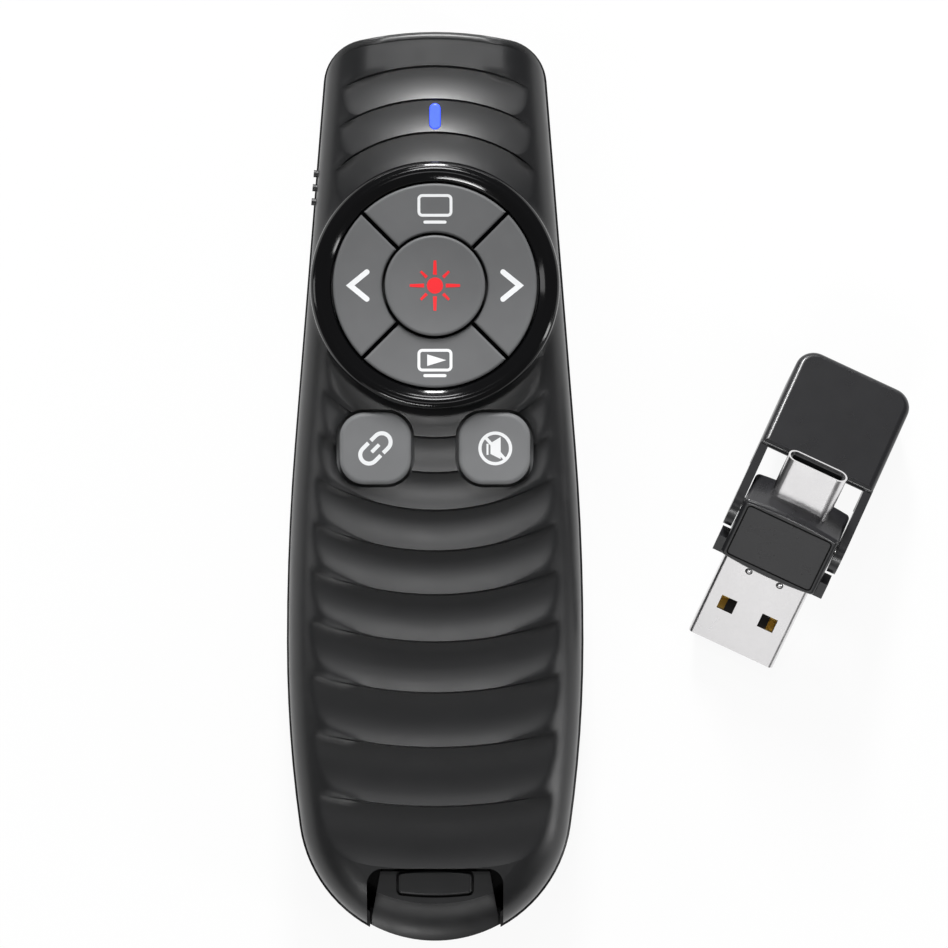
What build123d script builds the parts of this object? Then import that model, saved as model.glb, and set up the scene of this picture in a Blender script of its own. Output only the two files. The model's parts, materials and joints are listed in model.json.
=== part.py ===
from build123d import *
from math import atan, atan2, cos, degrees, radians, sin, sqrt
import os

# Wireless presentation clicker with a two-ended radio receiver standing beside it.
# Millimetres. The clicker lies on its back: face towards +Z, laser end towards +Y.
# The origin is on the flat underside, halfway along the body and on its plane of symmetry.

# Body
body_length = 118.6
body_width = 38.6
widest_y = -20.0
tail_inset = 1.5  # the round tail is this much narrower to each side than the hips
side_radius = 320.0
side_taper = 4.58  # degrees that the straight flanks lean in towards the nose
nose_radius = 45.0
nose_corner_radius = 6.0
nose_overrun = 3.5  # how far the shoulder rounding runs past the nose, which leaves the nose edge crisp
key_stack = 10.0  # underside of the board to the top of the crown
crown_peak_y = 14.0
crown_long_radius = 420.0
crown_cross_radius = 180.0
shoulder_radius = 5.5
base_radius = 4.5
wall = 1.8
floor_thickness = 2.0
upper_depth = 11.4  # crown down to the parting plane
rim_step = 0.3  # the lower casing stands out this far all round the upper one
lip_inset = 1.1
lip_thickness = 0.65
lip_height = 1.2
lip_gap = 0.1

# Grip ribs, ripples concentric with the dial
rib_depth = 0.9
rib_sink = 0.12
rib_step_run = 0.25
rib_bow = 0.042  # sag of each rise as a share of its run
tail_rib_tuck = 0.8  # the first steps start this far inside the ring
tail_rib_pitch = 4.2
tail_rib_growth = 1.078
tail_rib_count = 11
nose_rib_tuck = 0.45
nose_rib_pitch = 4.3
nose_rib_count = 3

# Dial and its keys
nose_to_dial = 33.15
side_to_ring = 3.15
ring_width = 2.7
ring_height = 2.0
pedestal_overhang = 0.25
pedestal_wall = 1.4
deck_rise = 0.3  # dial deck above the crown
deck_thickness = 1.8
key_gap = 0.25
quadrant_gap = 0.5
quadrant_band = 6.95  # ring's inner edge to the laser key
laser_key_gap = 0.35
key_below_ring = 0.25
dish_radius = 90.0
laser_dish_radius = 32.0
key_edge_radius = 0.3
key_travel = 0.5
key_stop_gap = 0.1
key_lift_gap = 0.3
flange_reach = 0.75
flange_thickness = 1.0
small_key_size = 9.3
small_key_corner = 3.3
small_key_x = 7.7
ring_to_small_key = 4.9  # ring's edge to the middle of the small keys
small_key_gap = 0.4
small_key_rise = 0.75
stem_radius = 1.2
stem_fit = 0.06
stem_from_ring = 3.15
frame_thickness = 1.0
frame_foot_offset = 7.7

# Circuit board and what it carries
board_thickness = 0.8
cell_to_board = 0.3
side_to_board = 7.5
nose_to_board = 8.8
dock_to_board = 4.8
side_to_leg = 3.3
board_leg_rear_y = -22.2
board_leg_front_y = 4.0
switch_size = 4.0
switch_height = 1.1
plunger_radius = 0.8
plunger_height = 0.3
nose_to_indicator = 11.2
indicator_width = 1.46
indicator_length = 3.4
indicator_fit = 0.05
controller_size = 5.0
controller_height = 0.9
controller_ahead = 3.5  # of the small keys' middle
radio_size = 4.0
radio_height = 0.8
radio_behind = 6.0

# Laser module
parting_to_laser = 3.4
laser_radius = 3.0
nose_to_laser = 3.0
laser_length = 12.0
laser_bore_radius = 2.5
laser_fit = 0.05
clamp_half_width = 5.0
nose_to_clamp = 10.8
clamp_length = 3.5
window_radius = 2.55

# Batteries, contacts and door
cell_radius = 5.25
cell_length = 44.5
cell_nub_radius = 1.9
cell_nub_length = 0.8
cell_apart = 0.1
door_to_cell = 0.4
bay_front_y = 36.4
bay_length = 49.2
bay_wall = 1.0
contact_thickness = 0.4
contact_gap = 0.1
door_overlap = 0.1  # door beyond the cells, to both sides together
door_thickness = 1.8
door_gap = 0.25
door_pin_radius = 0.5
door_pin_length = 1.1
door_pin_fit = 0.06

# Power slider on the left flank
nose_to_slider = 20.35
parting_to_slider = 3.2
slider_length = 6.4
slider_height = 3.0
slider_travel = 2.4
slider_gap = 0.15
slider_rib_pitch = 1.83
slider_rib_proud = 0.6

# Casing screws
screw_radius = 1.0
screw_head_radius = 1.9
screw_fit = 0.08
boss_radius = 2.2
front_screw_x = 8.6
nose_to_screw = 13.8
side_to_screw = 5.6
rear_screw_y = -19.4

# Tail: notch, cap, latch pad and receiver dock
notch_half_width = 8.85
tail_to_notch = 9.9
notch_corner = 2.0
cap_gap = 0.4
cap_half_width = 8.2
cap_front_half_width = 7.1
crown_to_shelf = 6.8
cap_wall = 1.3
cap_sill_z = 3.4
scoop_radius = 20.0
scoop_run = 5.3  # from the shelf's edge to the end of the tail
scoop_drop = 5.4
socket_wall = 4.5
socket_lift = 1.6
socket_short = 2.4
mouth_gap = 0.3
pad_width = 9.6
pad_length = 3.3
pad_bow = 0.35
tail_to_pad = 8.0
pad_thickness = 1.8
pad_gap = 0.25
pad_travel = 0.5
dock_half_width = 8.8
dock_height = 9.1
dock_wall = 1.0
dock_depth = 28.2
notch_to_dock = 0.4
dock_seat_gap = 0.2

# Receiver
receiver_x = 46.0
receiver_y = -5.0
receiver_heading = 245.0  # degrees from +X that the large plug points, seen from above
hood_swing = 120.0  # degrees from the large plug back to the hood
core_width = 13.4
core_thickness = 7.0
core_front = 6.6  # pivot to the face that the large plug leaves
core_back = 3.8
core_bow = 0.5
ear_reach = 1.1
ear_gap = 0.3
plug_a_width = 12.0
plug_a_thickness = 4.5
plug_a_exposed = 13.5
plug_a_wall = 0.3
plug_c_width = 8.3
plug_c_thickness = 2.5
plug_c_exposed = 6.7
plug_c_wall = 0.25
plug_socket = 2.4  # length of each plug that is held inside the core
window_size = 2.2
window_x = 2.9
window_from_end = 5.2
tongue_thickness = 1.9
contact_width = 1.0
contact_length = 7.4
receiver_board_margin = 1.5  # core's side to the edge of its board
hood_length = 23.0
hood_depth = 7.7
hood_arm = 1.15
hood_arm_rise = 0.3  # far edge of the arms, from the pivot
hood_arm_gap = 0.15
hood_panel = 1.0
hood_end_wall = 1.6
hood_reach = 7.7  # pivot to where the hood's panel starts
hood_pin_radius = 1.0
hood_pin_fit = 0.06
pivot_disc_radius = 3.2

# Places that follow from the sizes above
nose_y = body_length / 2
tail_y = -body_length / 2
tail_radius = body_width / 2 - tail_inset
cell_spacing = 2 * cell_radius + cell_apart
door_width = 2 * cell_spacing + door_overlap
cell_z = door_thickness + door_to_cell + cell_radius
board_z = cell_z + cell_radius + cell_to_board
crown_height = board_z + key_stack
parting_z = crown_height - upper_depth
laser_z = parting_z - parting_to_laser
slider_z = parting_z + parting_to_slider
cap_shelf_z = crown_height - crown_to_shelf
dial_y = nose_y - nose_to_dial
indicator_y = nose_y - nose_to_indicator
laser_front_y = nose_y - nose_to_laser
clamp_y = nose_y - nose_to_clamp
slider_y = nose_y - nose_to_slider
ring_outer_radius = body_width / 2 - side_to_ring
ring_inner_radius = ring_outer_radius - ring_width
quadrant_stem_ring = ring_inner_radius - stem_from_ring
laser_key_radius = ring_inner_radius - quadrant_band
small_key_y = dial_y - ring_outer_radius - ring_to_small_key
notch_y = tail_y + tail_to_notch
pad_y = tail_y + tail_to_pad
dock_mouth_y = notch_y + notch_to_dock
dock_front_y = dock_mouth_y + dock_depth
board_half_width = body_width / 2 - side_to_board
board_leg_half_width = body_width / 2 - side_to_leg
board_front_y = nose_y - nose_to_board
board_rear_y = dock_front_y + dock_wall + dock_to_board
deck_z = crown_height + deck_rise
deck_under_z = deck_z - deck_thickness
pedestal_radius = ring_outer_radius - pedestal_overhang
pedestal_bore = pedestal_radius - pedestal_wall
key_top_z = deck_z + ring_height - key_below_ring
flange_top_z = deck_under_z - key_lift_gap
quadrant_bottom_z = flange_top_z - flange_thickness
laser_flange_top_z = quadrant_bottom_z - key_travel - key_stop_gap
laser_key_bottom_z = laser_flange_top_z - 0.7
frame_top_z = laser_key_bottom_z - key_travel - key_stop_gap
frame_bottom_z = frame_top_z - frame_thickness
board_top_z = board_z + board_thickness
plunger_top_z = board_top_z + switch_height + plunger_height
stem_bottom_z = plunger_top_z + key_travel + key_stop_gap
bay_rear_y = bay_front_y - bay_length
cell_x = cell_spacing / 2
cap_front_y = notch_y - cap_gap
dial_centre = (0, dial_y)
screw_places = [
    (side * x, y)
    for x, y in [(front_screw_x, nose_y - nose_to_screw), (body_width / 2 - side_to_screw, rear_screw_y)]
    for side in (-1, 1)
]
stem_places = {
    "key_up": (0, dial_y + quadrant_stem_ring),
    "key_down": (0, dial_y - quadrant_stem_ring),
    "key_left": (-quadrant_stem_ring, dial_y),
    "key_right": (quadrant_stem_ring, dial_y),
    "laser_key": dial_centre,
    "link_key": (-small_key_x, small_key_y),
    "mute_key": (small_key_x, small_key_y),
}


def block(x, y, z):
    """A box given by its low and high limits along each axis."""
    size = (x[1] - x[0], y[1] - y[0], z[1] - z[0])
    return Pos((x[0] + x[1]) / 2, (y[0] + y[1]) / 2, (z[0] + z[1]) / 2) * Box(*size)


def post(place, radius, low, high):
    """An upright round post."""
    return Pos(place[0], place[1], (low + high) / 2) * Cylinder(radius, high - low)


def rod(x, z, radius, low, high):
    """A round rod along Y."""
    return Pos(x, (low + high) / 2, z) * Rot(90, 0, 0) * Cylinder(radius, high - low)


def pin(y, z, radius, low, high):
    """A round pin along X."""
    return Pos((low + high) / 2, y, z) * Rot(0, 90, 0) * Cylinder(radius, high - low)


def crown_z(x, y):
    """Height of the crowned face above a point of the plan."""
    along = crown_long_radius - sqrt(crown_long_radius**2 - (y - crown_peak_y) ** 2)
    across = crown_cross_radius - sqrt(crown_cross_radius**2 - x**2)
    return crown_height - along - across


def flank_start():
    """Where the curved side meets the straight flank, and the flank's outward direction."""
    outward = Vector(cos(radians(side_taper)), sin(radians(side_taper)))
    return Vector(body_width / 2 - side_radius, widest_y) + outward * side_radius, outward


def plan_outline(inset, overrun=0.0):
    """Plan of the body: tail, hip, side, flank, corner and nose, each tangent to the next."""
    half_width = body_width / 2
    tail_centre = Vector(0, tail_radius - body_length / 2)
    reach = widest_y - tail_centre.Y
    hip_radius = (half_width**2 + reach**2 - tail_radius**2) / (2 * (half_width - tail_radius))
    hip_centre = Vector(half_width - hip_radius, widest_y)
    hip_angle = degrees(atan2(tail_centre.Y - hip_centre.Y, -hip_centre.X))
    side_centre = Vector(half_width - side_radius, widest_y)
    side_end, outward = flank_start()
    forward = Vector(-outward.Y, outward.X)
    nose_centre = Vector(0, body_length / 2 + overrun - nose_radius)
    offset_from_nose = side_end - outward * nose_corner_radius - nose_centre
    along = offset_from_nose.dot(forward)
    span = nose_radius - nose_corner_radius
    run = sqrt(along**2 - offset_from_nose.length**2 + span**2) - along
    corner_centre = nose_centre + offset_from_nose + forward * run
    to_corner = corner_centre - nose_centre
    corner_angle = degrees(atan2(to_corner.Y, to_corner.X))
    corner_start = corner_centre + outward * (nose_corner_radius - inset)
    half = [
        CenterArc(tail_centre, tail_radius - inset, -90, 90 + hip_angle),
        CenterArc(hip_centre, hip_radius - inset, hip_angle, -hip_angle),
        CenterArc(side_centre, side_radius - inset, 0, side_taper),
        Line(side_end - outward * inset, corner_start),
        CenterArc(corner_centre, nose_corner_radius - inset, side_taper, corner_angle - side_taper),
        CenterArc(nose_centre, nose_radius - inset, corner_angle, 90 - corner_angle),
    ]
    outline = Curve() + half
    outline += mirror(outline, Plane.YZ)
    return make_face(outline.edges())


def plan_prism(inset, low, high, overrun=0.0):
    return Pos(0, 0, low) * extrude(plan_outline(inset, overrun), high - low)


def crown_solid(drop):
    """Everything under the doubly curved face, lowered by drop."""
    peak = crown_height - drop
    reach = body_width
    sag = crown_cross_radius - sqrt(crown_cross_radius**2 - reach**2)
    arc = ThreePointArc((-reach, peak - sag), (0, peak), (reach, peak - sag))
    under = Polyline((reach, peak - sag), (reach, -peak), (-reach, -peak), (-reach, peak - sag))
    section = Plane.XZ.offset(-crown_peak_y) * make_face(Curve() + [arc, under])
    axis = Axis((0, crown_peak_y, peak - crown_long_radius), (1, 0, 0))
    sweep = degrees(body_length / crown_long_radius)
    return revolve(section.rotate(axis, -sweep), axis, 2 * sweep)


def crowned_form(inset, drop, shoulder, overrun):
    """Body above the parting plane: the plan, cut by the crown, with rounded shoulders."""
    form = plan_prism(inset, parting_z, 2 * crown_height, overrun) & crown_solid(drop)
    return fillet(form.faces().sort_by(Axis.Z)[-1].edges(), shoulder)


def dial_disc(radius, low, high):
    return post(dial_centre, radius, low, high)


def rib_cutter(radii, side, step_at_inner):
    """Half-turn saw-tooth cutters about the dial axis: each tooth steps down, then rises in a hollow."""
    high = deck_z + ring_height
    cutter = Part()
    for inner, outer in zip(radii, radii[1:]):
        deep, crest = (inner, outer) if step_at_inner else (outer, inner)
        way = 1 if step_at_inner else -1
        deep_z = crown_z(0, dial_y + side * deep)
        crest_z = crown_z(0, dial_y + side * crest) - rib_sink
        foot = (deep + way * rib_step_run, deep_z - rib_sink - rib_depth)
        middle = ((foot[0] + crest) / 2, (foot[1] + crest_z) / 2 - rib_bow * (outer - inner))
        rise = ThreePointArc(foot, middle, (crest, crest_z))
        rest = Polyline((crest, crest_z), (crest, high), (deep, high), (deep, deep_z - rib_sink), foot)
        tooth = Plane.XZ * make_face(Curve() + [rise, rest])
        start = 0 if side > 0 else 180
        cutter += Pos(0, dial_y, 0) * Rot(0, 0, start) * revolve(tooth, Axis.Z, 180)
    return cutter


def tail_rib_radii():
    radii = [ring_outer_radius - tail_rib_tuck]
    for count in range(tail_rib_count - 1):
        radii.append(radii[-1] + tail_rib_pitch * tail_rib_growth**count)
    return radii


def nose_rib_radii():
    start = ring_outer_radius - nose_rib_tuck
    return [start + count * nose_rib_pitch for count in range(nose_rib_count + 1)]


def small_key_plan(grow):
    size = small_key_size + 2 * grow
    return RectangleRounded(size, size, small_key_corner + grow)


def flank_plane(inset):
    """Plane on the left flank at the slider: X towards the nose, Y up, Z out of the body."""
    side_end, outward = flank_start()
    forward = Vector(-outward.Y, outward.X)
    run = (slider_y - side_end.Y) / forward.Y
    place = side_end + forward * run - outward * inset
    return Plane(
        origin=(-place.X, place.Y, slider_z),
        x_dir=(-forward.X, forward.Y, 0),
        z_dir=(-outward.X, outward.Y, 0),
    )


def notch_plan():
    """Notch in the tail of the upper casing, with rounded front corners."""
    depth = body_length
    slab = RectangleRounded(2 * notch_half_width, depth, notch_corner)
    return Pos(0, notch_y - depth / 2) * slab


def top_shell():
    shell = crowned_form(rim_step, 0, shoulder_radius, nose_overrun)
    shell &= plan_prism(rim_step, parting_z, 2 * crown_height)
    shell += dial_disc(pedestal_radius, parting_z + wall, deck_z)
    hollow = crowned_form(rim_step + wall, wall, shoulder_radius - wall, 0)
    hollow += plan_prism(lip_inset - lip_gap, parting_z, parting_z + lip_height + lip_gap)
    hollow += dial_disc(pedestal_bore, parting_z, deck_under_z)
    for place in screw_places:
        hollow -= post(place, boss_radius, board_top_z, crown_height)
        hollow += post(place, screw_radius + screw_fit / 4, board_top_z, board_top_z + 4)
    cuts = [hollow, dial_disc(ring_inner_radius, deck_under_z - wall, deck_z)]
    for side in (-1, 1):
        window = Pos(side * small_key_x, small_key_y, board_top_z) * small_key_plan(small_key_gap)
        cuts.append(extrude(window, crown_height))
    slot = SlotOverall(indicator_length + 2 * indicator_fit, indicator_width + 2 * indicator_fit, 90)
    cuts.append(extrude(Pos(0, indicator_y, board_top_z) * slot, crown_height))
    cuts.append(extrude(Pos(0, 0, parting_z) * notch_plan(), crown_height))
    opening = Rectangle(slider_length + slider_travel + 2 * slider_gap, slider_height + 2 * slider_gap)
    opening = Pos(slider_travel / 2, 0) * opening
    cuts.append(flank_plane(rim_step) * extrude(opening, 2 * wall, both=True))
    ribs = rib_cutter(tail_rib_radii(), -1, True) + rib_cutter(nose_rib_radii(), 1, False)
    cuts.append(ribs - dial_disc(pedestal_radius, parting_z, 2 * crown_height))
    return shell - cuts


def bottom_shell():
    shell = plan_prism(0, 0, parting_z)
    shell = fillet(shell.faces().sort_by(Axis.Z)[0].edges(), base_radius)
    hollow = plan_prism(wall, floor_thickness, parting_z + 1)
    shell -= fillet(hollow.faces().sort_by(Axis.Z)[0].edges(), base_radius - wall)
    lip = plan_prism(lip_inset, parting_z, parting_z + lip_height)
    lip -= plan_prism(lip_inset + lip_thickness, parting_z, parting_z + lip_height)
    shell += lip
    for place in screw_places:
        shell += post(place, boss_radius, floor_thickness / 2, board_z)
    half_bay = door_width / 2 + door_gap
    rail_top = cell_z - 0.5
    for side in (-1, 1):
        rail = sorted((side * half_bay, side * (half_bay + bay_wall)))
        shell += block(rail, (bay_rear_y, bay_front_y), (floor_thickness / 2, rail_top))
    for end in ((bay_front_y, bay_front_y + bay_wall), (bay_rear_y - bay_wall, bay_rear_y)):
        width = half_bay + bay_wall
        shell += block((-width, width), end, (floor_thickness / 2, cell_z + cell_radius - 1))
    cradle = block(
        (-clamp_half_width, clamp_half_width), (clamp_y, clamp_y + clamp_length), (floor_thickness / 2, laser_z)
    )
    shell += cradle
    shell -= rod(0, laser_z, laser_radius + laser_fit, clamp_y - 1, clamp_y + clamp_length + 1)
    shell -= rod(0, laser_z, window_radius + laser_fit, laser_front_y, nose_y + 1)
    for place in screw_places:
        shell -= post(place, screw_radius + screw_fit, 0, board_z)
        shell -= post(place, screw_head_radius + screw_fit, 0, floor_thickness)
    door_rear = bay_rear_y + 0.2
    door_front = bay_front_y - 0.2
    shell -= block((-half_bay, half_bay), (door_rear, door_front), (0, floor_thickness))
    pin_y, pin_z = door_axis()
    reach = half_bay + door_pin_length
    shell -= pin(pin_y, pin_z, door_pin_radius + door_pin_fit, -reach, reach)
    mouth = cap_half_width + mouth_gap
    shell -= block((-mouth, mouth), (tail_y, dock_mouth_y), (cap_sill_z, parting_z + lip_height))
    return shell


def ring_bezel():
    low = deck_z
    high = deck_z + ring_height
    inner = ring_inner_radius
    outer = ring_outer_radius
    lip = ThreePointArc((inner, high - 0.35), (inner + 0.1, high - 0.1), (inner + 0.35, high))
    face = ThreePointArc((inner + 0.35, high), (outer - 0.75, high - 0.3), (outer, high - 1.25))
    rest = Polyline((outer, high - 1.25), (outer, low), (inner, low), (inner, high - 0.35))
    section = Plane.XZ * make_face(Curve() + [lip, face, rest])
    return Pos(0, dial_y, 0) * revolve(section, Axis.Z)


def dished(key, rim_radius, radius):
    """Scoops a shallow dish, centred on the dial's axis, into the top of a key."""
    depth = radius - sqrt(radius**2 - rim_radius**2)
    key -= Pos(0, 0, key_top_z - depth + radius) * Sphere(radius)
    return fillet(key.faces().sort_by(Axis.Z)[-1].edges(), key_edge_radius)


def quadrant_key(turn):
    apex = quadrant_gap / 2 * sqrt(2)
    far = 2 * ring_outer_radius
    wedge = make_face(Polyline((0, apex), (far, apex + far), (-far, apex + far), (0, apex)))
    inner = laser_key_radius + laser_key_gap
    outer = ring_inner_radius - key_gap
    cap = (Circle(outer) - Circle(inner)) & wedge
    flange = (Circle(outer + flange_reach) - Circle(inner)) & wedge
    key = extrude(Pos(0, 0, quadrant_bottom_z) * cap, key_top_z + 1 - quadrant_bottom_z)
    key = dished(key, outer, dish_radius)
    key += extrude(Pos(0, 0, quadrant_bottom_z) * flange, flange_thickness)
    key += post((0, quadrant_stem_ring), stem_radius, stem_bottom_z, quadrant_bottom_z)
    return Pos(0, dial_y, 0) * Rot(0, 0, turn) * key


def laser_key():
    key = post((0, 0), laser_key_radius, laser_key_bottom_z, key_top_z + 1)
    key = Pos(0, dial_y, 0) * dished(key, laser_key_radius, laser_dish_radius)
    key += dial_disc(laser_key_radius + flange_reach, laser_key_bottom_z, laser_flange_top_z)
    key += post(dial_centre, stem_radius, stem_bottom_z, laser_key_bottom_z)
    return key


def small_key(name):
    place = stem_places[name]
    edge_x = small_key_x + small_key_size / 2 + flange_reach
    flange_top = crown_z(edge_x, small_key_y) - wall - key_lift_gap
    bottom = flange_top - flange_thickness
    top = crown_z(*place) + small_key_rise
    key = extrude(Pos(*place, bottom) * small_key_plan(0), top - bottom)
    key = fillet(key.faces().sort_by(Axis.Z)[-1].edges(), 2 * key_edge_radius)
    key += extrude(Pos(*place, bottom) * small_key_plan(flange_reach), flange_thickness)
    key += post(place, stem_radius, stem_bottom_z, bottom)
    return key


def key_frame():
    """Plate under the keys that guides their stems and stands on the board."""
    frame = dial_disc(pedestal_bore - 0.1, frame_bottom_z, frame_top_z)
    reach = small_key_x + small_key_size / 2
    front = small_key_y - small_key_size / 2
    frame += block((-reach, reach), (front, dial_y - quadrant_stem_ring), (frame_bottom_z, frame_top_z))
    for place in stem_places.values():
        frame -= post(place, stem_radius + stem_fit, frame_bottom_z, frame_top_z)
    corner = frame_foot_offset
    feet = [(side * corner, dial_y + way * corner) for side in (-1, 1) for way in (-1, 1)]
    for place in feet + [(0, front + 1.6)]:
        frame += post(place, stem_radius, board_top_z, frame_bottom_z)
    return frame


def main_board():
    middle = (board_front_y + board_rear_y) / 2
    strip = Pos(0, middle) * RectangleRounded(2 * board_half_width, board_front_y - board_rear_y, 3.0)
    legs = Pos(0, (board_leg_front_y + board_leg_rear_y) / 2) * RectangleRounded(
        2 * board_leg_half_width, board_leg_front_y - board_leg_rear_y, 1.5
    )
    dock_side = dock_half_width + dock_wall + 0.5
    plan = strip + legs
    plan -= Pos(0, board_rear_y - body_length / 2) * Rectangle(2 * dock_side, body_length)
    board = Pos(0, 0, board_z) * extrude(plan, board_thickness)
    for place in screw_places:
        board -= post(place, screw_radius + screw_fit, board_z, board_top_z)
    return board


def key_switch(place):
    body = Pos(*place, board_top_z + switch_height / 2) * Box(switch_size, switch_size * 0.75, switch_height)
    return body + post(place, plunger_radius, board_top_z, plunger_top_z)


def chip(place, size, height):
    return Pos(*place, board_top_z + height / 2) * Box(size, size, height)


def indicator_lens():
    slot = SlotOverall(indicator_length, indicator_width, 90)
    low = board_top_z + 1.0
    high = crown_z(0, indicator_y) - rib_sink
    lens = extrude(Pos(0, indicator_y, low) * slot, high - low)
    return fillet(lens.faces().sort_by(Axis.Z)[-1].edges(), 0.25)


def laser_barrel():
    rear = laser_front_y - laser_length
    barrel = rod(0, laser_z, laser_radius, rear, laser_front_y)
    return barrel - rod(0, laser_z, laser_bore_radius, rear, laser_front_y)


def laser_diode():
    rear = laser_front_y - laser_length
    return rod(0, laser_z, laser_radius - 0.2, rear - 0.8, rear) + rod(0, laser_z, 1.9, rear, rear + 2.4)


def laser_lens():
    front = laser_front_y - 0.4
    disc = rod(0, laser_z, laser_bore_radius - laser_fit / 2, front - 1.6, front + 1)
    bulge = 5.0
    return disc & (Pos(0, front - bulge, laser_z) * Sphere(bulge))


def laser_clamp():
    clamp = block(
        (-clamp_half_width, clamp_half_width), (clamp_y, clamp_y + clamp_length), (laser_z, board_z - 0.8)
    )
    clamp -= rod(0, laser_z, laser_radius + laser_fit, clamp_y, clamp_y + clamp_length)
    return chamfer(clamp.faces().sort_by(Axis.Z)[-1].edges().filter_by(Axis.Y), 1.2)


def nose_window():
    front = nose_y - 0.2
    return rod(0, laser_z, window_radius, front - 1.2, front)


def power_slider():
    """Ridged slider: a body in the flank's slot, ridges outside and a keeper plate inside."""
    plane = flank_plane(rim_step)
    body = plane * extrude(Rectangle(slider_length, slider_height), -wall - 0.2)
    keeper = Rectangle(slider_length + 2.2, slider_height + 1.2)
    body += flank_plane(rim_step + wall + 0.2) * extrude(keeper, -0.8)
    for step in (-1, 0, 1):
        ridge = Pos(step * slider_rib_pitch, 0) * SlotOverall(slider_height - 0.3, 0.9, 90)
        body += plane * extrude(ridge, slider_rib_proud)
    return body


def power_switch():
    wall_x = -flank_plane(rim_step + wall + 1.6).origin.X
    high = frame_bottom_z - 0.3
    return block((-wall_x, 3.4 - wall_x), (slider_y - 4, slider_y + 4), (board_top_z, high))


def cell(side):
    """One AAA cell; the two lie head to tail."""
    x = side * cell_x
    way = side
    head = bay_front_y if side > 0 else bay_rear_y
    tip = head - way * (contact_thickness + contact_gap)
    shoulder = tip - way * cell_nub_length
    base = tip - way * cell_length
    can = rod(x, cell_z, cell_radius, min(shoulder, base), max(shoulder, base))
    can = fillet(can.edges(), 0.5)
    return can + rod(x, cell_z, cell_nub_radius, min(tip, shoulder), max(tip, shoulder))


def contact_plate(side):
    x = side * cell_x
    face = bay_front_y if side > 0 else bay_rear_y
    depth = sorted((face, face - side * contact_thickness))
    return block((x - 3.5, x + 3.5), depth, (cell_z - 3.5, cell_z + 3.5))


def contact_spring(side):
    """Bowed leaf that presses on the flat end of a cell."""
    x = side * cell_x
    face = bay_rear_y if side > 0 else bay_front_y
    reach = bay_length - cell_length - 1.5 * contact_thickness - 2 * contact_gap
    leaf = Polyline((0.2, -3.2), (0.2, 3.2), (reach, 1.2), (reach, -1.2), (1.2, -2.6))
    strip = trace(leaf, contact_thickness)
    plane = Plane(origin=(x - 2.5, face, cell_z), x_dir=(0, side, 0), z_dir=(side, 0, 0))
    shape = plane * extrude(strip, 5.0)
    return shape if side > 0 else Pos(5.0, 0, 0) * shape


def door_axis():
    """Y and Z of the battery door's hinge pins."""
    return bay_front_y - 0.2 - door_gap - door_thickness / 2, door_thickness / 2


def battery_door():
    pin_y, pin_z = door_axis()
    half = door_width / 2
    rear = bay_rear_y + 0.2 + door_gap
    door = block((-half, half), (rear, pin_y), (0, door_thickness))
    door += pin(pin_y, pin_z, door_thickness / 2, -half, half)
    door += pin(pin_y, pin_z, door_pin_radius, -half - door_pin_length, half + door_pin_length)
    return door - Pos(0, rear, 0) * Cylinder(4.5, 1.6)


def casing_screw(place):
    head_low = floor_thickness - 1.6
    screw = post(place, screw_head_radius, head_low, floor_thickness)
    return screw + post(place, screw_radius, floor_thickness, board_top_z + 3.5)


def receiver_dock():
    low = floor_thickness + dock_seat_gap
    inner_low = low + dock_wall
    outer = dock_half_width + dock_wall
    sleeve = block(
        (-outer, outer), (dock_mouth_y, dock_front_y + dock_wall), (low, inner_low + dock_height + dock_wall)
    )
    inner = (-dock_half_width, dock_half_width)
    return sleeve - block(inner, (dock_mouth_y, dock_front_y), (inner_low, inner_low + dock_height))


def pad_plan(grow):
    """Barrel-shaped press pad, its long edges bowed outwards."""
    half_w = pad_width / 2 + grow
    half_l = pad_length / 2 + grow
    edge = half_l - pad_bow
    outline = Curve() + [
        ThreePointArc((-half_w, edge), (0, half_l), (half_w, edge)),
        Line((half_w, edge), (half_w, -edge)),
        ThreePointArc((half_w, -edge), (0, -half_l), (-half_w, -edge)),
        Line((-half_w, -edge), (-half_w, edge)),
    ]
    plan = make_face(outline.edges())
    return Pos(0, pad_y) * fillet(plan.vertices(), 0.5 + grow)


def cap_plan():
    flare_y = cap_front_y - 6.0
    half = [(cap_front_half_width, cap_front_y), (cap_half_width, flare_y), (cap_half_width, tail_y)]
    other = [(-x, y) for x, y in reversed(half)]
    return make_face(Polyline(half + other + half[:1]))


def cap_floor_z():
    return floor_thickness + dock_seat_gap + dock_wall


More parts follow.
